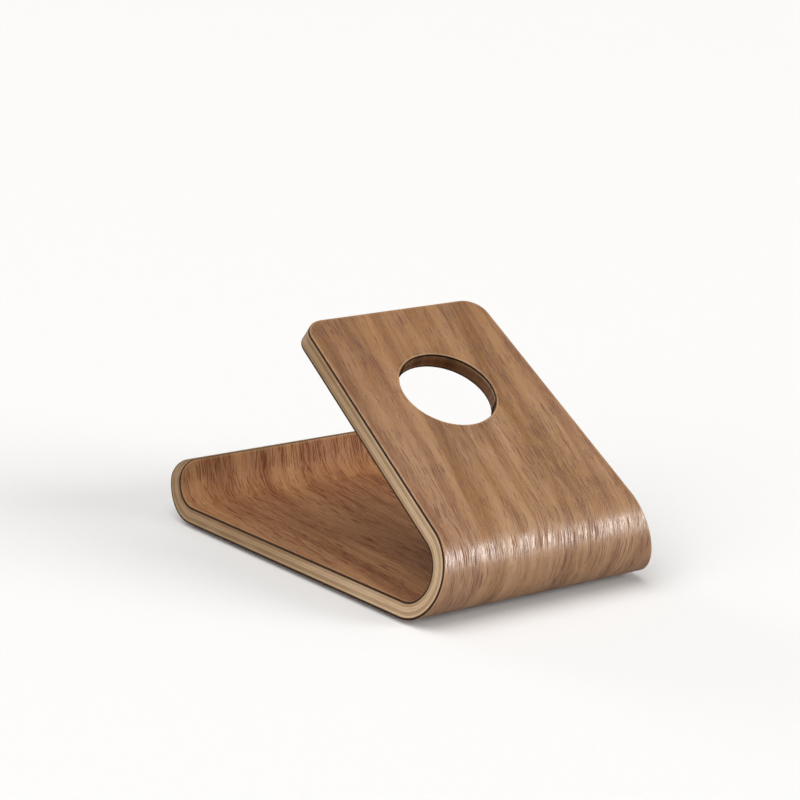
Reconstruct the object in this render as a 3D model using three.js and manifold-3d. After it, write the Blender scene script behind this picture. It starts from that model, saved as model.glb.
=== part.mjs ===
// Desk stand for a phone, bent from one sheet of moulded plywood.
//
// The sheet runs from a low front lip, back along the desk, round a rear bend and forward again
// as a sloping leg. The phone's lower edge sits in the curve of the lip, and its back leans on the
// end of the leg, which has a round hole. The sheet is seven wood plies glued face to face. Each
// ply is one solid, and the small space between two plies is their glue line. Four thin pads
// under the base keep the stand from sliding.
//
// Millimetres. +Z is up, +X runs across the stand, and -Y is the front, where the lip is.
// The origin is on the desk, at the centre of the stand's outline.

import * as THREE from 'three';
import { mergeVertices } from 'three/addons/utils/BufferGeometryUtils.js';
import Module from 'manifold-3d';

// Side profile, measured on the outer face of the sheet.
const LIP_STRAIGHT = 4;
const LIP_ANGLE = 75;
const LIP_RADIUS = 10.5;
const BASE_LENGTH = 75;
const BEND_RADIUS = 10.5;
const LEG_ANGLE = 29.5;
const LEG_LENGTH = 63.5;

// Both sides are flat saw cuts. They lean in towards the top and close in towards the rear.
const HALF_WIDTH = 30.5;
const SIDE_LEAN = 0.235;
const SIDE_CLOSING = 0.095;
const CORNER_RADIUS = 5;

const HOLE_RADIUS = 11;
const HOLE_DISTANCE = 37.5;

// The plies, from the outer face to the inner face.
const GLUE_LINE = 0.02;
const PLIES = [
  { name: 'outer_face_veneer', thickness: 0.5, wood: 'walnut' },
  { name: 'core_ply_1', thickness: 0.5, wood: 'maple_along' },
  { name: 'core_ply_2', thickness: 0.6, wood: 'maple_across' },
  { name: 'core_ply_3', thickness: 0.5, wood: 'maple_along' },
  { name: 'core_ply_4', thickness: 0.5, wood: 'maple_along' },
  { name: 'core_ply_5', thickness: 0.6, wood: 'maple_across' },
  { name: 'inner_face_veneer', thickness: 0.5, wood: 'walnut' },
];

// Anti-slip pads under the base.
const PAD_RADIUS = 4;
const PAD_HEIGHT = 1;
const PAD_EDGE_DISTANCE = 8;
const FRONT_PAD_SETBACK = 6;
const REAR_PAD_SETBACK = 5;

// Fineness of the round stretches.
const ARC_STEP = 7.5;
const CORNER_SEGMENTS = 6;
const ROUND_SEGMENTS = 48;

const MATERIALS = {
  walnut: new THREE.MeshStandardMaterial({ color: '#a07a59', roughness: 0.45, metalness: 0 }),
  maple_along: new THREE.MeshStandardMaterial({ color: '#dcc09a', roughness: 0.6, metalness: 0 }),
  maple_across: new THREE.MeshStandardMaterial({ color: '#b3936e', roughness: 0.7, metalness: 0 }),
  rubber: new THREE.MeshStandardMaterial({ color: '#2b2a29', roughness: 0.8, metalness: 0 }),
};

const wasm = await Module();
wasm.setup();

const lipAngle = THREE.MathUtils.degToRad(LIP_ANGLE);
const legAngle = THREE.MathUtils.degToRad(LEG_ANGLE);

// In the side view the base's outer face lies on v = 0, and the rear bend begins at u = 0. u grows
// towards the rear and v grows upwards.
const lipFront = -BASE_LENGTH - LIP_RADIUS * Math.sin(lipAngle) - LIP_STRAIGHT * Math.cos(lipAngle);
const centreU = (lipFront + BEND_RADIUS) / 2;
const baseHeight = PAD_HEIGHT + GLUE_LINE;

const legDirection = new THREE.Vector2(-Math.cos(legAngle), Math.sin(legAngle));
const legNormal = new THREE.Vector2(Math.sin(legAngle), Math.cos(legAngle));
const lipDirection = new THREE.Vector2(-Math.cos(lipAngle), Math.sin(lipAngle));
const bendCentre = new THREE.Vector2(0, BEND_RADIUS);
const lipCentre = new THREE.Vector2(-BASE_LENGTH, LIP_RADIUS);

/** Puts a side-view point, or a direction in the side view, into the stand's own frame. */
function placePoint(point) {
  return new THREE.Vector3(0, point.x - centreU, point.y + baseHeight);
}

function placeDirection(direction) {
  return new THREE.Vector3(0, direction.x, direction.y);
}

/** Half the stand's width at a point of the frame. */
function halfWidthAt(y, z) {
  return HALF_WIDTH - SIDE_LEAN * (z - baseHeight) - SIDE_CLOSING * (y + centreU);
}

/** The side-view line of the sheet at a depth below its outer face, from lip end to leg end. */
function profileLine(depth) {
  const lipSteps = Math.round(LIP_ANGLE / ARC_STEP);
  const bendAngle = Math.PI - legAngle;
  const bendSteps = Math.round((180 - LEG_ANGLE) / ARC_STEP);
  const line = [];
  for (let step = 0; step <= lipSteps; step += 1) {
    const angle = -Math.PI / 2 - lipAngle * (1 - step / lipSteps);
    const arm = new THREE.Vector2(Math.cos(angle), Math.sin(angle));
    line.push(lipCentre.clone().addScaledVector(arm, LIP_RADIUS - depth));
  }
  line.unshift(line[0].clone().addScaledVector(lipDirection, LIP_STRAIGHT));
  for (let step = 0; step <= bendSteps; step += 1) {
    const angle = -Math.PI / 2 + bendAngle * (step / bendSteps);
    const arm = new THREE.Vector2(Math.cos(angle), Math.sin(angle));
    line.push(bendCentre.clone().addScaledVector(arm, BEND_RADIUS - depth));
  }
  line.push(line[line.length - 1].clone().addScaledVector(legDirection, LEG_LENGTH));
  return line;
}

/** Turns a closed three.js geometry into a manifold solid. */
function toSolid(geometry) {
  const bare = geometry.clone();
  bare.deleteAttribute('normal');
  bare.deleteAttribute('uv');
  const merged = mergeVertices(bare, 1e-5);
  return new wasm.Manifold(new wasm.Mesh({
    numProp: 3,
    vertProperties: new Float32Array(merged.attributes.position.array),
    triVerts: new Uint32Array(merged.index.array),
  }));
}

/** Turns a manifold solid back into a three.js geometry. */
function toGeometry(solid) {
  const mesh = solid.getMesh();
  const geometry = new THREE.BufferGeometry();
  geometry.setAttribute('position', new THREE.BufferAttribute(mesh.vertProperties, 3));
  geometry.setIndex(new THREE.BufferAttribute(mesh.triVerts, 1));
  geometry.computeVertexNormals();
  return geometry;
}

/** One ply at full width, before its sides are cut: the profile between two depths. */
function plyStrip(nearDepth, farDepth) {
  const outline = [...profileLine(nearDepth), ...profileLine(farDepth).reverse()];
  const width = 3 * HALF_WIDTH;
  const geometry = new THREE.ExtrudeGeometry(new THREE.Shape(outline), {
    depth: width,
    bevelEnabled: false,
  });
  geometry.translate(-centreU, baseHeight, -width / 2);
  const sideways = new THREE.Matrix4().makeBasis(
    new THREE.Vector3(0, 1, 0),
    new THREE.Vector3(0, 0, 1),
    new THREE.Vector3(1, 0, 0),
  );
  return toSolid(geometry.applyMatrix4(sideways));
}

/** The block between the two flat side cuts. */
function sideEnvelope() {
  const reach = 4 * BEND_RADIUS + BASE_LENGTH;
  const geometry = new THREE.BoxGeometry(2, 2 * reach, 2 * reach);
  const position = geometry.attributes.position;
  for (let index = 0; index < position.count; index += 1) {
    const y = position.getY(index);
    const z = position.getZ(index);
    position.setX(index, position.getX(index) * halfWidthAt(y, z));
  }
  return toSolid(geometry);
}

/** The waste that is taken off one corner, to leave it round along both cut faces. */
function cornerWaste(endPoint, endDirection, side) {
  const endNormal = placeDirection(endDirection);
  const sideNormal = new THREE.Vector3(side, SIDE_CLOSING, SIDE_LEAN).normalize();
  const edge = new THREE.Vector3().crossVectors(endNormal, sideNormal).normalize();
  const inward = new THREE.Vector3().crossVectors(edge, endNormal).normalize();
  if (inward.dot(sideNormal) > 0) {
    inward.negate();
  }
  const corner = placePoint(endPoint);
  corner.x = side * halfWidthAt(corner.y, corner.z);

  // In the section square to the edge, the end face runs along +b and the side face runs off
  // from it at the corner's own angle.
  const alongSide = new THREE.Vector3().crossVectors(sideNormal, edge).normalize();
  if (alongSide.dot(endNormal) > 0) {
    alongSide.negate();
  }
  const sideLine = new THREE.Vector2(-alongSide.dot(endNormal), alongSide.dot(inward));
  const cornerAngle = Math.acos(sideLine.y);
  const tangent = CORNER_RADIUS / Math.tan(cornerAngle / 2);
  const onEnd = new THREE.Vector2(0, tangent);
  const onSide = sideLine.clone().multiplyScalar(tangent);
  const centre = new THREE.Vector2(CORNER_RADIUS, tangent);
  const outward = CORNER_RADIUS;
  const outline = [
    onEnd.clone().add(new THREE.Vector2(-outward, 0)),
    new THREE.Vector2(-outward, -outward),
    onSide.clone().add(new THREE.Vector2(0, -outward)),
  ];
  const from = Math.atan2(onSide.y - centre.y, onSide.x - centre.x);
  const to = -Math.PI;
  for (let step = 0; step <= CORNER_SEGMENTS; step += 1) {
    const angle = from + (to - from) * (step / CORNER_SEGMENTS);
    const arm = new THREE.Vector2(Math.cos(angle), Math.sin(angle));
    outline.push(centre.clone().addScaledVector(arm, CORNER_RADIUS));
  }
  const depth = 4 * CORNER_RADIUS;
  const geometry = new THREE.ExtrudeGeometry(new THREE.Shape(outline), {
    depth,
    bevelEnabled: false,
  });
  geometry.translate(0, 0, -depth / 2);
  const firstAxis = endNormal.clone().negate();
  const thirdAxis = new THREE.Vector3().crossVectors(firstAxis, inward);
  const place = new THREE.Matrix4().makeBasis(firstAxis, inward, thirdAxis).setPosition(corner);
  return toSolid(geometry.applyMatrix4(place));
}

/** The round hole through the leg. */
function holeWaste() {
  const height = 4 * BEND_RADIUS;
  const geometry = new THREE.CylinderGeometry(HOLE_RADIUS, HOLE_RADIUS, height, ROUND_SEGMENTS);
  const onLeg = bendCentre.clone().addScaledVector(legNormal, BEND_RADIUS);
  const centre = placePoint(onLeg.addScaledVector(legDirection, HOLE_DISTANCE));
  const turn = new THREE.Quaternion().setFromUnitVectors(
    new THREE.Vector3(0, 1, 0),
    placeDirection(legNormal),
  );
  const place = new THREE.Matrix4().compose(centre, turn, new THREE.Vector3(1, 1, 1));
  return toSolid(geometry.applyMatrix4(place));
}

const envelope = sideEnvelope();
const legEnd = bendCentre.clone()
  .addScaledVector(legNormal, BEND_RADIUS)
  .addScaledVector(legDirection, LEG_LENGTH);
const lipEnd = profileLine(0)[0];
const waste = [
  holeWaste(),
  cornerWaste(legEnd, legDirection, 1),
  cornerWaste(legEnd, legDirection, -1),
  cornerWaste(lipEnd, lipDirection, 1),
  cornerWaste(lipEnd, lipDirection, -1),
].reduce((all, piece) => all.add(piece));

const stand = new THREE.Group();
let depth = 0;
for (const ply of PLIES) {
  const strip = plyStrip(depth, depth + ply.thickness);
  const geometry = toGeometry(strip.intersect(envelope).subtract(waste));
  const mesh = new THREE.Mesh(geometry, MATERIALS[ply.wood]);
  mesh.name = ply.name;
  stand.add(mesh);
  depth += ply.thickness + GLUE_LINE;
}

const padPlaces = [
  ['front_right_pad', 1, -BASE_LENGTH + FRONT_PAD_SETBACK],
  ['front_left_pad', -1, -BASE_LENGTH + FRONT_PAD_SETBACK],
  ['rear_right_pad', 1, -REAR_PAD_SETBACK],
  ['rear_left_pad', -1, -REAR_PAD_SETBACK],
];
for (const [name, side, u] of padPlaces) {
  const geometry = new THREE.CylinderGeometry(PAD_RADIUS, PAD_RADIUS, PAD_HEIGHT, ROUND_SEGMENTS);
  const pad = new THREE.Mesh(geometry, MATERIALS.rubber);
  const y = u - centreU;
  pad.name = name;
  pad.rotation.x = Math.PI / 2;
  pad.position.set(side * (halfWidthAt(y, baseHeight) - PAD_EDGE_DISTANCE), y, PAD_HEIGHT / 2);
  stand.add(pad);
}

export default stand;
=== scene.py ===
# Desk stand for a phone, bent from one sheet of walnut-faced moulded plywood.
#
# Every ply of the sheet is rebuilt here as one smooth closed piece in the place of its CAD node:
# the same bent strip, with finely stepped bends, round corners, the round hole, and eased edges
# on the two face veneers. The four anti-slip pads get rounded rims. The wood materials are solid
# textures that follow the unrolled sheet, so that the grain runs round the bends and through
# every cut edge.
#
# Shapes are worked out in millimetres and turned into metres when a mesh is made.
import math

import bpy
import numpy as np
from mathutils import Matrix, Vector
from mathutils.geometry import delaunay_2d_cdt


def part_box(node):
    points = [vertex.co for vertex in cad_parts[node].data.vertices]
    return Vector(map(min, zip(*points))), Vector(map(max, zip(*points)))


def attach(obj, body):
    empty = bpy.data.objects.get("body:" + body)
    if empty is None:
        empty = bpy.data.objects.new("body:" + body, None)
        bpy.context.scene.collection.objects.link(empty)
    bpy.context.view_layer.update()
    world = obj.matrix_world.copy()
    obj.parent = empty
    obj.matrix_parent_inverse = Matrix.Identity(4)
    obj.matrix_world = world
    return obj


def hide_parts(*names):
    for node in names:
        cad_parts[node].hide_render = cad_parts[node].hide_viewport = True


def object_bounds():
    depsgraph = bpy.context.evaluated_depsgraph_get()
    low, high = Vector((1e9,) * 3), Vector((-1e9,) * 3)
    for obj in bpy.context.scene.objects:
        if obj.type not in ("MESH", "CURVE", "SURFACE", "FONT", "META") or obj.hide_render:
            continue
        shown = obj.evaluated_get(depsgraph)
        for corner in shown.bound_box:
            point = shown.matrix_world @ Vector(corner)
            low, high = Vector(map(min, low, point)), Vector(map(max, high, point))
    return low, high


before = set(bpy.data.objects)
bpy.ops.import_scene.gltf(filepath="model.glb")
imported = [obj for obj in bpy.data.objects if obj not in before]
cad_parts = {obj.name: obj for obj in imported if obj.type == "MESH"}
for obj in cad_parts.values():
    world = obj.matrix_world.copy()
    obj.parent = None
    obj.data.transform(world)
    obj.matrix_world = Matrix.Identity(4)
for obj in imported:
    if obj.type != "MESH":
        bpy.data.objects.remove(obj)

cad_low, cad_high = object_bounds()
MM = 0.001

# ---------------------------------------------------------------- driving sizes
# The side profile, on the sheet's outer face.
LIP_STRAIGHT = 4.0
LIP_ANGLE = math.radians(75.0)
LIP_RADIUS = 10.5
BASE_LENGTH = 75.0
BEND_RADIUS = 10.5
LEG_ANGLE = math.radians(29.5)
LEG_LENGTH = 63.5

# The two flat side cuts: half the width at the rear bend's foot, and how fast it shrinks
# upwards and rearwards.
HALF_WIDTH = 30.5
SIDE_LEAN = 0.235
SIDE_CLOSING = 0.095
CORNER_RADIUS = 5.0

HOLE_RADIUS = 11.0
HOLE_DISTANCE = 37.5

# Each ply: its CAD node, its thickness, its wood, and how far its outer-side and inner-side
# edges are eased. A painted highlight makes a strip beside each eased edge lighter.
EASED = 0.25
HIGHLIGHT_STRIP = 0.5
PLIES = (
    ("outer_face_veneer", 0.5, "walnut_outer", EASED, 0.0),
    ("core_ply_1", 0.5, "maple_along", 0.0, 0.0),
    ("core_ply_2", 0.6, "maple_across", 0.0, 0.0),
    ("core_ply_3", 0.5, "maple_along", 0.0, 0.0),
    ("core_ply_4", 0.5, "maple_along", 0.0, 0.0),
    ("core_ply_5", 0.6, "maple_across", 0.0, 0.0),
    ("inner_face_veneer", 0.5, "walnut_inner", 0.0, EASED),
)

# The pads' CAD nodes, and the radius of their rounded rims.
PADS = ("front_right_pad", "front_left_pad", "rear_right_pad", "rear_left_pad")
PAD_RIM = 0.25

# Fineness of the meshes.
ARC_STEP = math.radians(2.5)
STRAIGHT_STEP = 3.0
CORNER_STEPS = 12
END_STEPS = 6
EASE_STEPS = 5
HOLE_STEPS = 120
COLUMNS = 14
PAD_RIM_STEPS = 5
PAD_STEPS = 64
# How far the points inside a face stay clear of the hole.
HOLE_CLEARANCE = 0.6 * STRAIGHT_STEP
# An eased rim takes the cut edge's finish where it is steeper than this sine.
CUT_STEEPNESS = 0.5

# ---------------------------------------------------------------- the bent sheet's geometry
# A point of the sheet is (station, x, depth): the station is the length along the outer face
# from the lip's end, x runs across, and the depth is measured inwards from the outer face.
BASE_START = LIP_STRAIGHT + LIP_RADIUS * LIP_ANGLE
BEND_START = BASE_START + BASE_LENGTH
LEG_START = BEND_START + BEND_RADIUS * (math.pi - LEG_ANGLE)
SHEET_LENGTH = LEG_START + LEG_LENGTH
HOLE_STATION = LEG_START + HOLE_DISTANCE
BEND_MIDDLE = 0.5 * (BEND_START + LEG_START)

outer_low, outer_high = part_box("outer_face_veneer")
BASE_Z = outer_low.z / MM
BEND_Y = outer_high.y / MM - BEND_RADIUS


def heading(station):
    """The direction in which the sheet runs, as an angle from +Y towards +Z."""
    stations = (LIP_STRAIGHT, BASE_START, BEND_START, LEG_START)
    return np.interp(station, stations, (-LIP_ANGLE, 0.0, 0.0, math.pi - LEG_ANGLE))


def along(station):
    """Unit vectors along the sheet, as rows of (x, y, z)."""
    turn = heading(station)
    return np.stack([0.0 * turn, np.cos(turn), np.sin(turn)], axis=-1)


def outward(station):
    """Unit vectors square to the sheet's outer face, as rows of (x, y, z)."""
    turn = heading(station)
    return np.stack([0.0 * turn, np.sin(turn), -np.cos(turn)], axis=-1)


def place(station, x, depth):
    """Points of the sheet in the row frame, as rows of (x, y, z) in millimetres."""
    on_base = np.clip(station, BASE_START, BEND_START)
    radius = np.where(station < 0.5 * (BASE_START + BEND_START), LIP_RADIUS, BEND_RADIUS)
    straight = np.minimum(station - LIP_STRAIGHT, 0.0) + np.maximum(station - LEG_START, 0.0)
    centre = np.stack([x, BEND_Y + on_base - BEND_START, BASE_Z + radius], axis=-1)
    reach = (radius - depth)[..., None]
    return centre + reach * outward(station) + straight[..., None] * along(station)


def half_width(station, depth):
    """Half the sheet's width, as the two flat side cuts leave it."""
    point = place(station, 0.0 * station, depth)
    rise = point[..., 2] - BASE_Z
    return HALF_WIDTH - SIDE_LEAN * rise - SIDE_CLOSING * (point[..., 1] - BEND_Y)


def width_slope(direction):
    """How fast half the width grows in a direction of the row frame."""
    return -SIDE_LEAN * direction[..., 2] - SIDE_CLOSING * direction[..., 1]


def evenly(start, stop, step):
    """Values from start to stop, both included, no further apart than step."""
    return np.linspace(start, stop, max(2, math.ceil((stop - start) / step) + 1))


def side_tangents():
    """The stations where the two corner rounds meet the side."""
    lip_slope = width_slope(along(np.array(0.0)))
    leg_slope = width_slope(along(np.array(SHEET_LENGTH)))
    lip = CORNER_RADIUS - CORNER_RADIUS * lip_slope / math.hypot(1.0, lip_slope)
    leg = SHEET_LENGTH - CORNER_RADIUS - CORNER_RADIUS * leg_slope / math.hypot(1.0, leg_slope)
    return max(lip, LIP_STRAIGHT), leg


def side_stations():
    """Stations along a side between the two corner rounds, from the lip to the leg's end."""
    first, last = side_tangents()
    stretches = (
        evenly(first, BASE_START, LIP_RADIUS * ARC_STEP),
        evenly(BASE_START, BEND_START, STRAIGHT_STEP),
        evenly(BEND_START, LEG_START, BEND_RADIUS * ARC_STEP),
        evenly(LEG_START, last, STRAIGHT_STEP),
    )
    return np.concatenate([stretch[:-1] for stretch in stretches] + [[last]])


SIDE = side_stations()


def corner(end, depth, inset):
    """A corner round on the +X side, from the sheet's end to its side: stations, x and normals."""
    at_end = 0.0 if end < 0 else SHEET_LENGTH
    station = at_end - end * CORNER_RADIUS
    slope = float(width_slope(along(np.array(at_end))))
    side_length = math.hypot(1.0, slope)
    edge = float(half_width(np.array(at_end), np.array(depth)))
    x = edge + slope * (station - at_end) - CORNER_RADIUS * side_length
    end_angle = 0.0 if end > 0 else math.pi
    side_angle = math.atan2(1.0, -slope)
    angles = np.linspace(end_angle, side_angle, CORNER_STEPS + 1)
    normals = np.stack([np.cos(angles), np.sin(angles)], axis=-1)
    points = np.array([station, x]) + (CORNER_RADIUS - inset) * normals
    return points, normals


def end_line(end, first, inset):
    """The straight part of an end, from the middle to its corner round."""
    station = -inset * end + (0.0 if end < 0 else SHEET_LENGTH)
    x = np.linspace(0.0, first[1], END_STEPS + 1)[:-1]
    points = np.stack([0.0 * x + station, x], axis=-1)
    normals = np.stack([0.0 * x + end, 0.0 * x], axis=-1)
    return points, normals


def outline(depth, inset):
    """The rim of the unrolled sheet as (station, x) rows and normals, turning from station to x."""
    leg_corner, leg_normals = corner(1, depth, inset)
    lip_corner, lip_normals = corner(-1, depth, inset)
    leg_end, leg_end_normals = end_line(1, leg_corner[0], inset)
    lip_end, lip_end_normals = end_line(-1, lip_corner[0], inset)
    stations = SIDE[-2:0:-1]
    slope = width_slope(along(stations))
    side = np.stack([stations, half_width(stations, depth) - inset], axis=-1)
    side_normals = np.stack([-slope, 1.0 + 0.0 * slope], axis=-1)
    side_normals /= np.linalg.norm(side_normals, axis=-1)[:, None]
    points = np.concatenate([leg_end, leg_corner, side, lip_corner[::-1], lip_end[::-1]])
    normals = np.concatenate(
        [leg_end_normals, leg_normals, side_normals, lip_normals[::-1], lip_end_normals[::-1]]
    )
    mirror = np.array([1.0, -1.0])
    points = np.concatenate([points, points[-2:0:-1] * mirror])
    normals = np.concatenate([normals, normals[-2:0:-1] * mirror])
    return points, normals


def hole(inset):
    """The rim of the hole as (station, x) rows and normals, turning the other way."""
    angles = -np.linspace(0.0, 2.0 * math.pi, HOLE_STEPS, endpoint=False)
    arms = np.stack([np.cos(angles), np.sin(angles)], axis=-1)
    return np.array([HOLE_STATION, 0.0]) + (HOLE_RADIUS + inset) * arms, -arms


def inner_grid():
    """Rows of grid points inside the sheet, as (station, part of the half width)."""
    rows = []
    fractions = np.linspace(-1.0, 1.0, COLUMNS + 1)[1:-1]
    for station in SIDE[1:-1]:
        x = fractions * half_width(np.array(station), 0.0)
        clear = np.hypot(station - HOLE_STATION, x) > HOLE_RADIUS + HOLE_CLEARANCE
        rows.append([(station, part) for part, free in zip(fractions, clear) if free])
    return rows


def unrolled_triangles(rows):
    """Triangles over the unrolled sheet. They index the outline, then the hole, then the grid."""
    rim, _ = outline(0.0, 0.0)
    ring, _ = hole(0.0)
    parts = np.array([part for row in rows for part in row])
    grid = np.stack([parts[:, 0], parts[:, 1] * half_width(parts[:, 0], 0.0)], axis=-1)
    points = np.concatenate([rim, ring, grid])
    n_rim, n_ring = len(rim), len(ring)
    edges = [(n_rim + i, n_rim + (i + 1) % n_ring) for i in range(n_ring)]
    side_first = END_STEPS + CORNER_STEPS + 1
    index = n_rim + n_ring
    # Up to the leg's start every row is a fixed line, so that no face cuts across a bend's steps.
    for number, row in enumerate(rows):
        right = side_first + len(rows) - 1 - number
        left = n_rim - right
        if row[0][0] <= LEG_START + 0.001:
            line = [left] + list(range(index, index + len(row))) + [right]
            edges += list(zip(line[:-1], line[1:]))
        index += len(row)
    flat = [Vector(point) for point in points]
    made = delaunay_2d_cdt(flat, edges, [list(range(n_rim))], 1, 1e-4)
    sources = [source[0] for source in made[3]]
    triangles = np.array([[sources[v] for v in face] for face in made[2]])
    middle = points[triangles].mean(axis=1)
    outside_hole = np.hypot(middle[:, 0] - HOLE_STATION, middle[:, 1]) > 0.99 * HOLE_RADIUS
    triangles = triangles[outside_hole]
    a, b, c = (points[triangles[:, k]] for k in range(3))
    ab, ac = b - a, c - a
    turned = ab[:, 0] * ac[:, 1] - ab[:, 1] * ac[:, 0] < 0
    triangles[turned] = triangles[turned][:, ::-1]
    return triangles, parts


GRID_ROWS = inner_grid()
TRIANGLES, GRID = unrolled_triangles(GRID_ROWS)


def rings(near, far, ease_near, ease_far):
    """The loops round a ply's edge, from its near face to its far face.

    Each loop is its depth, its inset, the turn of its normals, and how close it is to the edge:
    0 on the open face, 0.5 where the easing starts, and 1 on the cut.
    """
    loops = []
    quarter = math.pi / 2.0
    for face, ease, inwards in ((near, ease_near, 1.0), (far, ease_far, -1.0)):
        steps = np.linspace(0.0, quarter, EASE_STEPS + 1) if ease else np.array([quarter])
        # The first loop of an eased face bounds the strip of painted highlight beside the rim.
        part = [(face, ease + HIGHLIGHT_STRIP, 0.0, 0.0)] if ease else []
        for turn in steps:
            depth = face + inwards * ease * (1.0 - math.cos(turn))
            inset = ease * (1.0 - math.sin(turn))
            part.append((depth, inset, turn, 0.5 + 0.5 * math.sin(turn)))
        if inwards < 0:
            part = [(depth, inset, math.pi - turn, edge) for depth, inset, turn, edge in part[::-1]]
        loops += part
    return loops


def new_mesh(name, points, faces, normals, values):
    """A mesh in metres with its own corner normals and named vector attributes."""
    mesh = bpy.data.meshes.new(name)
    mesh.from_pydata((np.asarray(points) * MM).tolist(), [], faces, shade_flat=False)
    for attribute, rows in values.items():
        layer = mesh.attributes.new(attribute, "FLOAT_VECTOR", "POINT")
        layer.data.foreach_set("vector", np.asarray(rows, dtype=np.float32).ravel())
    mesh.normals_split_custom_set([tuple(normal) for normal in normals])
    return mesh


def loop_rows(level, near, far):
    """One loop round a ply's edge: its points, their facts for the materials, and its normals."""
    depth, inset, turn, edge = level
    rim, rim_normals = outline(depth, inset)
    ring, ring_normals = hole(inset)
    flat = np.concatenate([rim, ring])
    flat_normals = np.concatenate([rim_normals, ring_normals])
    is_rim = np.arange(len(flat)) < len(rim)
    station, x = flat[:, 0], flat[:, 1]
    face_normal = outward(station)
    # The side planes lean, so the wall leans with them. The hole's wall is square to the face.
    lean = -width_slope(face_normal) * np.abs(flat_normals[:, 1]) * is_rim
    wall = flat_normals[:, :1] * along(station) + lean[:, None] * face_normal
    wall[:, 0] += flat_normals[:, 1]
    wall /= np.linalg.norm(wall, axis=1)[:, None]
    normal = math.cos(turn) * face_normal + math.sin(turn) * wall
    normal /= np.linalg.norm(normal, axis=1)[:, None]
    share = (depth - near) / (far - near)
    end_grain = math.sin(turn) * np.abs(flat_normals[:, 0])
    facts = np.stack([x, station, 0.0 * x + depth], axis=-1)
    cuts = np.stack([0.0 * x + edge, end_grain, 0.0 * x + share], axis=-1)
    return place(station, x, depth), facts, cuts, normal


def grid_rows(depth, inset, share):
    """The points inside one face of a ply, and their facts for the materials."""
    station = GRID[:, 0]
    x = GRID[:, 1] * (half_width(station, depth) - inset)
    facts = np.stack([x, station, 0.0 * x + depth], axis=-1)
    cuts = np.stack([0.0 * x, 0.0 * x, 0.0 * x + share], axis=-1)
    return place(station, x, depth), facts, cuts


def sheet_mesh(name, near, far, ease_near, ease_far):
    """One ply: two bent faces with the round corners and the hole, and the edge all round."""
    levels = rings(near, far, ease_near, ease_far)
    loops = [loop_rows(level, near, far) for level in levels]
    grids = [grid_rows(near, levels[0][1], 0.0), grid_rows(far, levels[-1][1], 1.0)]
    points, facts, cuts = (np.concatenate([rows[k] for rows in loops + grids]) for k in range(3))
    n_loop = len(loops[0][0])
    n_rim = n_loop - HOLE_STEPS
    last_loop = n_loop * (len(loops) - 1)
    near_grid = n_loop * len(loops)
    far_grid = near_grid + len(GRID)
    faces, normals = [], []
    for loop_start, grid_start, side in ((0, near_grid, 1.0), (last_loop, far_grid, -1.0)):
        on_loop = TRIANGLES < n_loop
        index = np.where(on_loop, TRIANGLES + loop_start, TRIANGLES - n_loop + grid_start)
        if side < 0:
            index = index[:, ::-1]
        faces += index.tolist()
        normals.append(side * outward(facts[index.ravel(), 1]))

    wall_normals = np.concatenate([rows[3] for rows in loops])
    here = np.arange(n_loop)
    ahead = np.concatenate([np.roll(here[:n_rim], -1), np.roll(here[n_rim:], -1)])
    is_cut = [0] * len(faces)
    for number in range(len(levels) - 1):
        upper = number * n_loop
        lower = upper + n_loop
        quads = np.stack([ahead + upper, here + upper, here + lower, ahead + lower], axis=-1)
        faces += quads.tolist()
        normals.append(wall_normals[quads.ravel()])
        steepness = min(math.sin(levels[number][2]), math.sin(levels[number + 1][2]))
        is_cut += [int(steepness > CUT_STEEPNESS)] * len(quads)
    mesh = new_mesh(name, points, faces, np.concatenate(normals), {"sheet": facts, "cut": cuts})
    return mesh, is_cut


# ---------------------------------------------------------------- material helpers
def tint(code):
    """A colour written as #rrggbb, as scene-linear values with full alpha."""
    parts = [int(code[i : i + 2], 16) / 255.0 for i in (1, 3, 5)]
    linear = [c / 12.92 if c <= 0.04045 else ((c + 0.055) / 1.055) ** 2.4 for c in parts]
    return (*linear, 1.0)


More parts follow.
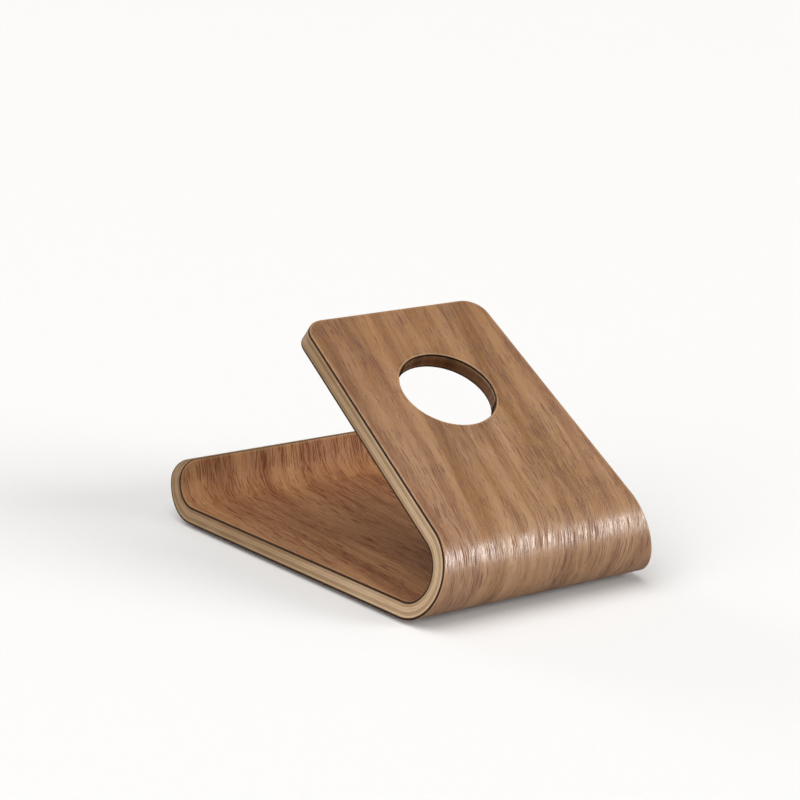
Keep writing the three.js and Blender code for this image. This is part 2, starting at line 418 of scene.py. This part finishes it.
class Graph:
    """A node material under construction."""

    def __init__(self, name):
        self.material = bpy.data.materials.new(name)
        self.material.use_nodes = True
        self.tree = self.material.node_tree
        self.tree.nodes.clear()
        self.shader = self.add("ShaderNodeBsdfPrincipled")
        output = self.add("ShaderNodeOutputMaterial")
        self.tree.links.new(self.shader.outputs["BSDF"], output.inputs["Surface"])

    def add(self, kind, inputs=None, **settings):
        """A node with its settings, and its inputs linked to sockets or set to values."""
        node = self.tree.nodes.new(kind)
        for key, value in settings.items():
            setattr(node, key, value)
        for key, value in (inputs or {}).items():
            self.feed(node.inputs[key], value)
        return node

    def feed(self, socket, value):
        """Links a socket to this input, or sets the input to a value."""
        if isinstance(value, bpy.types.NodeSocket):
            self.tree.links.new(value, socket)
        else:
            socket.default_value = value

    def attribute(self, name):
        """One of the mesh's own attributes, as a vector."""
        return self.add("ShaderNodeAttribute", attribute_name=name).outputs["Vector"]

    def calc(self, operation, a, b=0.0, clamp=False):
        """A Math node on two values."""
        node = self.add("ShaderNodeMath", {0: a, 1: b}, operation=operation, use_clamp=clamp)
        return node.outputs[0]

    def above(self, value, level, gain):
        """How far value is past level, times gain, held between 0 and 1."""
        return self.calc("MULTIPLY", self.calc("SUBTRACT", value, level), gain, clamp=True)

    def split(self, vector):
        """The three parts of a vector."""
        return self.add("ShaderNodeSeparateXYZ", {0: vector}).outputs

    def join(self, x, y, z):
        """A vector made of three parts."""
        return self.add("ShaderNodeCombineXYZ", {0: x, 1: y, 2: z}).outputs[0]

    def scaled(self, vector, factors, shift=(0.0, 0.0, 0.0)):
        """The vector times factors, plus shift, axis by axis."""
        node = self.add(
            "ShaderNodeVectorMath", {0: vector, 1: factors, 2: shift}, operation="MULTIPLY_ADD"
        )
        return node.outputs[0]

    def noise(self, vector, detail=2.0, roughness=0.5):
        """Noise with cells one unit wide in the vector's own units."""
        inputs = {"Vector": vector, "Scale": 1.0, "Detail": detail, "Roughness": roughness}
        return self.add("ShaderNodeTexNoise", inputs).outputs["Fac"]

    def between(self, value, low, high, to_low=0.0, to_high=1.0):
        """A smooth step of value from low to high."""
        inputs = {"Value": value, "From Min": low, "From Max": high}
        inputs.update({"To Min": to_low, "To Max": to_high})
        node = self.add("ShaderNodeMapRange", inputs, interpolation_type="SMOOTHSTEP")
        return node.outputs["Result"]

    def mix(self, share, a, b, blend="MIX"):
        """Colour a with a share of colour b over it."""
        node = self.add("ShaderNodeMix", data_type="RGBA", blend_type=blend)
        self.feed(node.inputs[0], share)
        self.feed(node.inputs[6], a)
        self.feed(node.inputs[7], b)
        return node.outputs[2]

    def ramp(self, value, stops):
        """A colour ramp over (position, colour) stops."""
        node = self.add("ShaderNodeValToRGB", {0: value})
        elements = node.color_ramp.elements
        while len(elements) < len(stops):
            elements.new(0.5)
        for element, (position, colour) in zip(elements, stops):
            element.position = position
            element.color = tint(colour)
        return node.outputs["Color"]

    def bump(self, height, distance):
        """Relief whose full height is distance, in metres."""
        node = self.add("ShaderNodeBump", {"Height": height, "Distance": distance, "Strength": 1.0})
        self.feed(self.shader.inputs["Normal"], node.outputs["Normal"])

    def finish(self, colour, roughness, **fixed):
        """Feeds the shader and sets the inputs that are the same all over."""
        self.feed(self.shader.inputs["Base Color"], colour)
        self.feed(self.shader.inputs["Roughness"], roughness)
        for key, value in fixed.items():
            self.shader.inputs[key.replace("_", " ")].default_value = value
        return self.material


# ---------------------------------------------------------------- materials
# Full heights of the relief, in metres.
LACQUER_RELIEF = 0.00007
FINE_RELIEF = 0.00003
# Painted shade where it is strongest, as a multiplier on a colour: on the faces towards the leg's
# end, where it carries a painted warm reflection too, and on the cut edges towards both ends.
WARM_SHADE_FACE = (0.79, 0.67, 0.42, 1.0)
SHADE_EDGE = (0.6, 0.54, 0.46, 1.0)


class Timber:
    """The parts of a wood pattern that a face and its cut edges share.

    The factors of a noise on the grain are its cells to a millimetre across, along and through
    the wood.
    """

    def __init__(self, graph, shift, wander, slant):
        g = graph
        x, s, depth = g.split(g.scaled(g.attribute("sheet"), (1.0, 1.0, 1.0), shift))[:3]
        sway = g.noise(g.scaled(g.join(x, s, depth), (0.035, 0.02, 0.3)), 2.0)
        across = g.calc("ADD", x, g.calc("MULTIPLY", s, slant))
        across = g.calc("ADD", across, g.calc("MULTIPLY", sway, wander))
        self.across = across
        self.grain = g.join(across, s, depth)
        self.fibre = g.noise(g.scaled(self.grain, (5.0, 0.2, 5.0), (7.0, 3.0, 0.0)), 3.0, 0.6)


def walnut_figure(g, timber, tones, flush):
    """Wide and narrow stripes of tone with warmer patches: the colour, and the figure itself."""
    wide = g.noise(g.scaled(timber.grain, (0.17, 0.009, 0.3)), 2.0)
    narrow = g.noise(g.scaled(timber.grain, (0.42, 0.02, 0.3), (31.0, 0.0, 0.0)), 2.0, 0.5)
    figure = g.calc("ADD", g.calc("MULTIPLY", wide, 0.56), g.calc("MULTIPLY", narrow, 0.44))
    fine = g.calc("MULTIPLY", g.calc("SUBTRACT", timber.fibre, 0.5), 0.12)
    figure = g.calc("ADD", figure, fine)
    colour = g.ramp(g.between(figure, 0.34, 0.66), tones)
    warmth = g.noise(g.scaled(timber.grain, (0.09, 0.012, 0.1), (5.0, 2.0, 0.0)), 1.0)
    colour = g.mix(g.between(warmth, 0.38, 0.62, 0.0, 0.45), colour, tint(flush))
    return colour, figure


def growth_lines(g, timber, patches, share, colour):
    """Yearly growth: each band darkens slowly to one side and ends at a sharper line."""
    drift = g.noise(g.scaled(timber.grain, (0.05, 0.007, 0.1), (17.0, 4.0, 0.0)), 2.0)
    steady = g.calc("MULTIPLY", timber.across, 0.135)
    phase = g.calc("FRACT", g.calc("ADD", steady, g.calc("MULTIPLY", drift, 2.4)))
    late = g.calc("MULTIPLY", g.between(phase, 0.4, 0.92), g.between(phase, 0.93, 1.0, 1.0, 0.0))
    strength = g.between(patches, 0.35, 0.65, 0.3 * share, share)
    return g.mix(g.calc("MULTIPLY", late, strength), colour, tint("#663b12"))


def open_pores(g, timber, patches, figure):
    """Open pores, crowded where the figure is dark."""
    pale = g.calc("MULTIPLY", g.calc("SUBTRACT", figure, 0.5), 0.6)
    level = g.between(g.calc("SUBTRACT", patches, pale), 0.34, 0.6, 0.64, 0.54)
    pore = g.noise(g.scaled(timber.grain, (4.0, 0.18, 2.0), (13.0, 5.0, 0.0)), 2.0, 0.45)
    return g.above(pore, level, 14.0)


def lacquer(g, timber, pores, small_pores, roughness):
    """The lacquer sinks into the pores and follows the grain's low waves. Gives its roughness."""
    wave = g.noise(g.scaled(timber.grain, (1.5, 0.09, 1.0), (5.0, 23.0, 0.0)), 2.0, 0.55)
    hollow = g.calc("ADD", pores, g.calc("MULTIPLY", small_pores, 0.3))
    swell = g.calc("ADD", g.calc("MULTIPLY", wave, 1.4), g.calc("MULTIPLY", timber.fibre, 0.15))
    g.bump(g.calc("SUBTRACT", swell, hollow), LACQUER_RELIEF)
    rough = g.calc("ADD", g.between(wave, 0.35, 0.65, 0.0, 0.25), g.calc("MULTIPLY", pores, 0.35))
    return g.calc("ADD", rough, roughness)


def walnut_face(name, grain, tones, flush, line_share, pore_share, painted_shade_strength, roughness, gloss):
    """Satin-lacquered walnut veneer with its grain along the sheet, and with painted shade,
    reflection and highlight.
    """
    g = Graph(name)
    timber = Timber(g, *grain)
    colour, figure = walnut_figure(g, timber, tones, flush)
    patches = g.noise(g.scaled(timber.grain, (0.12, 0.05, 0.3), (3.0, 11.0, 0.0)), 2.0)
    colour = growth_lines(g, timber, patches, line_share, colour)

    # Pale flecks, open pores, and finer pores everywhere.
    pores = open_pores(g, timber, patches, figure)
    small = g.noise(g.scaled(timber.grain, (6.5, 0.6, 2.0), (2.0, 9.0, 0.0)), 1.0)
    small_pores = g.above(small, 0.56, 8.0)
    fleck = g.noise(g.scaled(timber.grain, (3.8, 0.3, 2.0), (41.0, 7.0, 0.0)), 2.0)
    flecks = g.above(fleck, 0.57, 7.0)
    colour = g.mix(g.calc("MULTIPLY", flecks, 0.25), colour, tint("#bd9770"))
    colour = g.mix(g.calc("MULTIPLY", pores, pore_share), colour, tint("#622a04"))
    colour = g.mix(g.calc("MULTIPLY", small_pores, 0.3), colour, tint("#5f320e"))

    # Towards the leg's end the tone is painted deeper and yellower: painted shade and a painted
    # warm reflection.
    station = g.split(g.attribute("sheet"))[1]
    painted_shade_share = g.between(station, LEG_START + 10.0, SHEET_LENGTH, 0.0, painted_shade_strength)
    colour = g.mix(painted_shade_share, colour, WARM_SHADE_FACE, "MULTIPLY")

    # Beside the edge a painted highlight makes the wood a little lighter.
    edge = g.split(g.attribute("cut"))[0]
    colour = g.mix(g.between(edge, 0.0, 0.5, 0.0, 0.3), colour, tint("#b98f66"))
    rough = lacquer(g, timber, pores, small_pores, roughness)
    return g.finish(colour, rough, Specular_IOR_Level=gloss)


def walnut_cut(name, grain):
    """The face veneer's own cut edge: dark, dry wood, darkest on end grain."""
    g = Graph(name)
    timber = Timber(g, *grain)
    end_grain = g.split(g.attribute("cut"))[1]
    colour = g.mix(g.between(end_grain, 0.1, 0.9), tint("#2a170b"), tint("#1d1008"))
    colour = g.mix(g.between(timber.fibre, 0.35, 0.75, 0.0, 0.5), colour, tint("#46290f"))
    g.bump(timber.fibre, FINE_RELIEF)
    return g.finish(colour, g.between(timber.fibre, 0.3, 0.7, 0.6, 0.75), Specular_IOR_Level=0.2)


def maple(name, across_grain, side_tone, end_tone):
    """A pale core ply, seen on its cut edges: brighter along its grain, duller on end grain."""
    g = Graph(name)
    x, s, depth = g.split(g.attribute("sheet"))[:3]
    end_grain, share = g.split(g.attribute("cut"))[1:3]
    along_s = (2.6, 0.12, 9.0)
    along_x = (0.12, 2.6, 9.0)
    grain = g.scaled(g.join(x, s, depth), along_x if across_grain else along_s)
    streak = g.noise(grain, 4.0, 0.6)
    cloud = g.noise(g.scaled(g.join(x, s, depth), (0.12, 0.12, 0.5), (5.0, 2.0, 0.0)), 2.0)
    end_share = g.calc("SUBTRACT", 1.0, end_grain) if across_grain else end_grain
    colour = g.mix(g.between(end_share, 0.15, 0.9), tint(side_tone), tint(end_tone))
    colour = g.mix(g.between(streak, 0.35, 0.75, 0.0, 0.4), colour, tint("#7d6650"))
    colour = g.mix(g.between(cloud, 0.4, 0.75, 0.0, 0.25), colour, tint("#cdb99c"))
    middle = g.calc("ABSOLUTE", g.calc("SUBTRACT", share, 0.5))
    colour = g.mix(g.between(middle, 0.42, 0.5, 0.0, 0.28), colour, tint("#5d4631"))

    # Painted shade darkens the edges, most at the lip and at the leg's end.
    from_bend = g.calc("ABSOLUTE", g.calc("SUBTRACT", s, BEND_MIDDLE))
    painted_shade_share = g.between(from_bend, 10.0, 72.0)
    colour = g.mix(painted_shade_share, colour, SHADE_EDGE, "MULTIPLY")

    # The wall of the drilled hole is darkened, partly by burnishing and partly by painted shade,
    # least beside the outer face.
    from_hole = g.add(
        "ShaderNodeVectorMath",
        {0: g.join(x, g.calc("SUBTRACT", s, HOLE_STATION), 0.0)},
        operation="LENGTH",
    ).outputs["Value"]
    burnish_and_shade_depth = g.between(depth, 0.8, 1.3, 0.35, 0.8)
    hole_burnish_and_shade = g.between(from_hole, HOLE_RADIUS + 0.5, HOLE_RADIUS + 1.0, burnish_and_shade_depth, 0.0)
    colour = g.mix(hole_burnish_and_shade, colour, tint("#5a3216"))
    g.bump(g.calc("SUBTRACT", 0.0, streak), FINE_RELIEF)
    return g.finish(colour, g.between(streak, 0.3, 0.7, 0.5, 0.66), Specular_IOR_Level=0.25)


def pad_rubber(name):
    """Matte dark rubber with a fine moulded grain and a little dust, in cells to a metre."""
    g = Graph(name)
    place_in_space = g.add("ShaderNodeTexCoord").outputs["Object"]
    speckle = g.noise(g.scaled(place_in_space, (2600.0, 2600.0, 2600.0)), 3.0, 0.6)
    dust = g.noise(g.scaled(place_in_space, (420.0, 420.0, 420.0), (3.0, 1.0, 5.0)), 3.0)
    colour = g.mix(speckle, tint("#232221"), tint("#353331"))
    colour = g.mix(g.between(dust, 0.55, 0.8, 0.0, 0.3), colour, tint("#6f6a64"))
    g.bump(speckle, FINE_RELIEF)
    return g.finish(colour, g.between(dust, 0.4, 0.7, 0.7, 0.86), Specular_IOR_Level=0.35)


def floor_paper(name):
    """Plain pale studio floor, which throws only part of its light back onto the stand."""
    g = Graph(name)
    place_in_space = g.add("ShaderNodeTexCoord").outputs["Object"]
    tooth = g.noise(g.scaled(place_in_space, (900.0, 900.0, 900.0)), 2.0)
    colour = g.mix(tooth, tint("#e5e4e2"), tint("#e9e8e7"))
    seen = g.add("ShaderNodeLightPath").outputs["Is Camera Ray"]
    colour = g.mix(seen, tint("#b4aeaa"), colour)
    return g.finish(colour, g.between(tooth, 0.2, 0.8, 0.75, 0.85), Specular_IOR_Level=0.2)


OUTER_TONES = (
    (0.0, "#7b5325"),
    (0.35, "#8c6540"),
    (0.65, "#97714c"),
    (1.0, "#9f7957"),
)
INNER_TONES = (
    (0.0, "#7b5031"),
    (0.35, "#8b5e3b"),
    (0.7, "#976b46"),
    (1.0, "#a37750"),
)
# Each veneer's place in the wood, how far its grain wanders, and how far it slants.
OUTER_GRAIN = ((0.0, 0.0, 0.0), 6.0, 0.11)
INNER_GRAIN = ((60.0, 240.0, 9.0), 8.0, -0.05)
MATERIALS = {
    "walnut_outer": (
        walnut_face(
            "walnut_outer",
            OUTER_GRAIN,
            OUTER_TONES,
            flush="#8f684c",
            line_share=0.5,
            pore_share=0.75,
            # The leg's end gets painted shade and a painted warm reflection at this strength.
            painted_shade_strength=0.65,
            roughness=0.28,
            gloss=0.95,
        ),
        walnut_cut("walnut_outer_cut", OUTER_GRAIN),
    ),
    "walnut_inner": (
        walnut_face(
            "walnut_inner",
            INNER_GRAIN,
            INNER_TONES,
            flush="#7d5034",
            line_share=0.2,
            pore_share=0.68,
            painted_shade_strength=0.0,
            roughness=0.48,
            gloss=0.25,
        ),
        walnut_cut("walnut_inner_cut", INNER_GRAIN),
    ),
    "maple_along": (maple("maple_along", False, "#c3a684", "#97754f"),),
    "maple_across": (maple("maple_across", True, "#bc9c78", "#a38564"),),
    "rubber": (pad_rubber("pad_rubber"),),
}


# ---------------------------------------------------------------- pieces
def add_piece(name, mesh, finish, node):
    """Puts a finished mesh in the place of a CAD node."""
    for material in MATERIALS[finish]:
        mesh.materials.append(material)
    piece = bpy.data.objects.new(name, mesh)
    bpy.context.scene.collection.objects.link(piece)
    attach(piece, "root")
    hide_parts(node)


def make_plies():
    """Every ply, from the outer face inwards, at its CAD node's depth."""
    for node, thickness, finish, ease_near, ease_far in PLIES:
        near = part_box(node)[0].z / MM - BASE_Z
        mesh, is_cut = sheet_mesh(node + "_sheet", near, near + thickness, ease_near, ease_far)
        add_piece(node + "_sheet", mesh, finish, node)
        if len(MATERIALS[finish]) > 1:
            mesh.polygons.foreach_set("material_index", is_cut)


def pad_mesh(name, low, high):
    """A rubber disc with rounded rims, turned about its upright axis."""
    low, high = np.array(low) / MM, np.array(high) / MM
    centre = 0.5 * (low + high)
    radius = 0.5 * (high[0] - low[0])
    foot = []
    for angle in np.linspace(0.0, math.pi / 2.0, PAD_RIM_STEPS + 1):
        r = radius - PAD_RIM + PAD_RIM * math.sin(angle)
        foot.append((r, low[2] + PAD_RIM - PAD_RIM * math.cos(angle)))
    head = [(r, low[2] + high[2] - z) for r, z in reversed(foot)]
    profile = [(0.5 * radius, low[2])] + foot + head + [(0.5 * radius, high[2])]
    turns = np.linspace(0.0, 2.0 * math.pi, PAD_STEPS, endpoint=False)
    points = [
        (centre[0] + r * math.cos(t), centre[1] + r * math.sin(t), z)
        for r, z in profile
        for t in turns
    ]
    points += [(centre[0], centre[1], low[2]), (centre[0], centre[1], high[2])]
    faces = []
    for level in range(len(profile) - 1):
        for k in range(PAD_STEPS):
            a = level * PAD_STEPS + k
            b = level * PAD_STEPS + (k + 1) % PAD_STEPS
            faces.append((a, b, b + PAD_STEPS, a + PAD_STEPS))
    top = (len(profile) - 1) * PAD_STEPS
    for k in range(PAD_STEPS):
        ahead = (k + 1) % PAD_STEPS
        faces.append((ahead, k, len(points) - 2))
        faces.append((top + k, top + ahead, len(points) - 1))
    mesh = bpy.data.meshes.new(name)
    mesh.from_pydata((np.array(points) * MM).tolist(), [], faces, shade_flat=False)
    mesh.validate()
    return mesh


def make_pads():
    """The four pads, each as large as its CAD node."""
    for node in PADS:
        add_piece(node + "_disc", pad_mesh(node + "_disc", *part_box(node)), "rubber", node)


# ---------------------------------------------------------------- stage, light and camera
HALF_FLOOR = 6.0
SKY_AT_HORIZON = (0.33, 0.33, 0.325, 1.0)
SKY_ABOVE = (0.22, 0.22, 0.22, 1.0)
SKY_ABOVE_FROM = 0.8
BACKDROP = (0.9, 0.895, 0.885, 1.0)
# Each light: its name, its azimuth, elevation and spread in degrees, and its strength.
SUNS = (
    ("key", 215.0, 20.0, 31.0, 2.4),
    ("side", 105.0, 18.0, 40.0, 0.8),
    ("top", 110.0, 65.0, 60.0, 2.15),
    ("front", 15.0, 10.0, 30.0, 0.75),
)

# The view, in millimetres for the lens, degrees, and metres.
LENS = 112.4
VIEW_AZIMUTH = 145.89
VIEW_ELEVATION = 15.6
VIEW_ROLL = 1.1
VIEW_DISTANCE = 0.5457
AIM_FROM_CENTRE = Vector((5.99, 0.71, 9.16)) * MM


def make_floor():
    """A wide floor at the stand's foot."""
    r = HALF_FLOOR
    corners = [(-r, -r, 0.0), (r, -r, 0.0), (r, r, 0.0), (-r, r, 0.0)]
    mesh = bpy.data.meshes.new("floor")
    mesh.from_pydata(corners, [], [(0, 1, 2, 3)])
    mesh.materials.append(floor_paper("floor_paper"))
    floor = bpy.data.objects.new("floor", mesh)
    bpy.context.scene.collection.objects.link(floor)


def back_vector(azimuth, elevation):
    """The direction from the object to a viewer: azimuth 0 is at -Y, and 90 is at +X."""
    a, e = math.radians(azimuth), math.radians(elevation)
    return Vector((math.sin(a) * math.cos(e), -math.cos(a) * math.cos(e), math.sin(e)))


def soft_sun(name, azimuth, elevation, spread, strength):
    """Even soft light from one side: a far disc that looks spread degrees wide."""
    data = bpy.data.lights.new(name, "SUN")
    data.energy = strength
    data.angle = math.radians(spread)
    light = bpy.data.objects.new(name, data)
    light.rotation_euler = back_vector(azimuth, elevation).to_track_quat("Z", "Y").to_euler()
    bpy.context.scene.collection.objects.link(light)


def make_sky():
    """Pale light from all round, a little weaker from above."""
    world = bpy.data.worlds.new("studio")
    world.use_nodes = True
    tree = world.node_tree
    place_in_sky = tree.nodes.new("ShaderNodeTexCoord")
    height = tree.nodes.new("ShaderNodeSeparateXYZ")
    sky = tree.nodes.new("ShaderNodeValToRGB")
    sky.color_ramp.elements[0].position = 0.0
    sky.color_ramp.elements[0].color = SKY_AT_HORIZON
    sky.color_ramp.elements[1].position = SKY_ABOVE_FROM
    sky.color_ramp.elements[1].color = SKY_ABOVE
    tree.links.new(place_in_sky.outputs["Generated"], height.inputs[0])
    tree.links.new(height.outputs["Z"], sky.inputs["Fac"])

    # The backdrop is as pale as the floor where the camera sees it directly.
    seen = tree.nodes.new("ShaderNodeLightPath")
    backdrop = tree.nodes.new("ShaderNodeMix")
    backdrop.data_type = "RGBA"
    backdrop.inputs[7].default_value = BACKDROP
    tree.links.new(seen.outputs["Is Camera Ray"], backdrop.inputs[0])
    tree.links.new(sky.outputs["Color"], backdrop.inputs[6])
    tree.links.new(backdrop.outputs[2], tree.nodes["Background"].inputs["Color"])
    bpy.context.scene.world = world


def make_lights():
    """A pale studio: a key from behind, one from above, and weaker ones at a side and in front."""
    for sun in SUNS:
        soft_sun(*sun)
    bpy.context.scene.view_settings.view_transform = "Standard"


def make_camera():
    """The photograph's view: from behind the stand, at the right hand of the phone's user."""
    data = bpy.data.cameras.new("camera")
    data.lens = LENS
    data.sensor_width = 36.0
    data.clip_start = 0.01
    data.clip_end = 50.0
    camera = bpy.data.objects.new("camera", data)
    back = back_vector(VIEW_AZIMUTH, VIEW_ELEVATION)
    roll = math.radians(VIEW_ROLL)
    aim = 0.5 * (cad_low + cad_high) + AIM_FROM_CENTRE
    camera.location = aim + VIEW_DISTANCE * back
    turn = back.to_track_quat("Z", "Y").to_matrix()
    right, up = turn.col[0].copy(), turn.col[1].copy()
    turn.col[0] = right * math.cos(roll) + up * math.sin(roll)
    turn.col[1] = up * math.cos(roll) - right * math.sin(roll)
    camera.rotation_euler = turn.to_euler()
    bpy.context.scene.collection.objects.link(camera)
    bpy.context.scene.camera = camera


make_plies()
make_pads()
make_floor()
make_sky()
make_lights()
make_camera()

bpy.context.view_layer.update()
